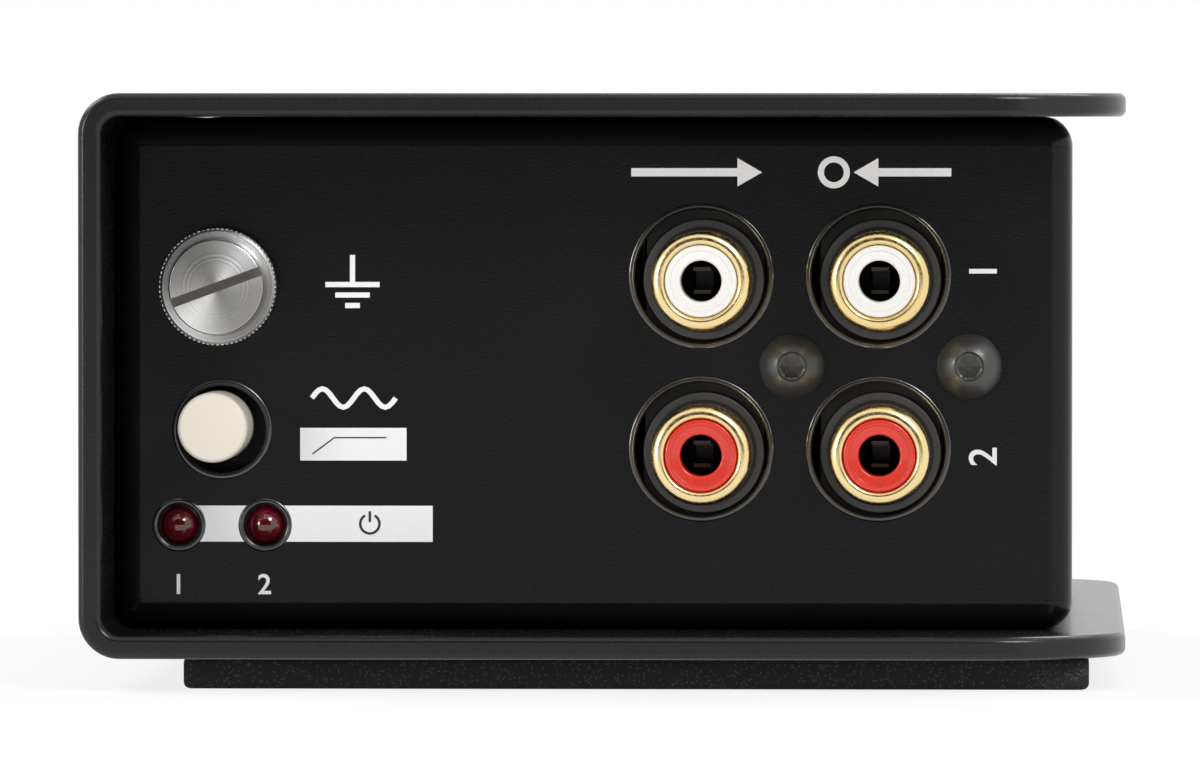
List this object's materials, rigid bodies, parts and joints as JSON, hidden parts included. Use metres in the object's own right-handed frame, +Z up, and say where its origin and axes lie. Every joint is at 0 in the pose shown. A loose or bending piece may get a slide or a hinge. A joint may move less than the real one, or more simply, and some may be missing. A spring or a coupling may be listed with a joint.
{
  "type": "phono preamplifier",
  "caption": "Desktop phono preamplifier in a folded steel case: phono jacks, ground screw, filter button and power lamps at one end, a level dial, mini jack and power inlet at the other.",
  "frame": {"origin": "centre of the case's footprint, on the underside of the pad", "axes": "+Z up; the end with the phono jacks faces -Y; +X points to the open side of the shell"},
  "size_m": [0.084, 0.127, 0.048],
  "materials": {
    "shell_coat": "satin black powder coat with a fine grain",
    "chassis_coat": "satin black powder coat with a fine grain",
    "pad_foam": "matt black foam rubber with grey speckles",
    "black_screw": "black oxide, satin",
    "zinc_steel": "bright zinc plate",
    "jack_moulding": "dark grey moulded plastic",
    "bright_nickel": "turned and nickel plated",
    "gilt": "gold plated, polished",
    "white_insulator": "glossy white",
    "red_insulator": "glossy red",
    "silver_contact": "tin or silver plated",
    "ivory_cap": "ivory, satin",
    "white_moulding": "natural nylon",
    "black_moulding": "black moulded plastic",
    "lamp_red": "clear dark red epoxy",
    "board_laminate": "green solder mask",
    "pot_case": "plain",
    "knob_moulding": "satin black",
    "can_sleeve": "dark blue sleeve",
    "film_case": "red-brown lacquer",
    "chip_epoxy": "black epoxy",
    "resistor_lacquer": "blue lacquer"
  },
  "bodies": {
    "root": {"amplifier_chips": "chip_epoxy", "board_header": "black_moulding", "board_screws": "zinc_steel", "board_standoffs": "zinc_steel", "capacitor_cans": "can_sleeve", "clinch_nuts": "zinc_steel", "control_board": "board_laminate", "film_capacitors": "film_case", "filter_switch": "black_moulding", "ground_nut": "zinc_steel", "inner_chassis": "chassis_coat", "jack_screws": "black_screw", "lamp_leads": "zinc_steel", "lamp_spacers": "white_moulding", "left_lamp": "lamp_red", "level_nut": "zinc_steel", "level_pot": "pot_case", "main_board": "board_laminate", "mini_jack": "black_moulding", "no_slip_pad": "pad_foam", "outer_shell": "shell_coat", "output_jack_housing": "jack_moulding", "output_left_contact": "silver_contact", "output_left_insulator": "white_insulator", "output_left_shield": "gilt", "output_right_contact": "silver_contact", "output_right_insulator": "red_insulator", "output_right_shield": "gilt", "phono_jack_housing": "jack_moulding", "phono_left_contact": "silver_contact", "phono_left_insulator": "white_insulator", "phono_left_shield": "gilt", "phono_right_contact": "silver_contact", "phono_right_insulator": "red_insulator", "phono_right_shield": "gilt", "power_inlet": "black_moulding", "power_pin": "silver_contact", "resistors": "resistor_lacquer", "right_lamp": "lamp_red", "shell_screws": "black_screw"},
    "filter_key": {"filter_button": "ivory_cap", "filter_plunger": "white_moulding"},
    "ground_slider": {"ground_washer": "bright_nickel"},
    "ground_thumb_screw": {"ground_screw": "bright_nickel"},
    "level_control": {"level_knob": "knob_moulding", "level_shaft": "pot_case"}
  },
  "joints": [
    {"name": "filter_press", "type": "slide", "parent": "root", "child": "filter_key", "axis": [0, 1, 0], "range_m": [0, 0.0022], "stiffness_N_per_m": 400, "springref_m": -0.0012},
    {"name": "ground_lift", "type": "slide", "parent": "root", "child": "ground_slider", "axis": [0, -1, 0], "range_m": [0, 0.0028]},
    {"name": "ground_turn", "type": "hinge", "parent": "ground_slider", "child": "ground_thumb_screw", "pos_m": [-0.03135, -0.0521, 0.03235], "axis": [0, -1, 0], "range_deg": [0, 1440.5]},
    {"name": "level_turn", "type": "hinge", "parent": "root", "child": "level_control", "pos_m": [0.014, 0.0525, 0.0253], "axis": [0, 1, 0], "range_deg": [-150, 150]}
  ],
  "couplings": [
    {"joint": "ground_turn", "follows": "ground_lift", "rad_per_m": 8976}
  ]
}
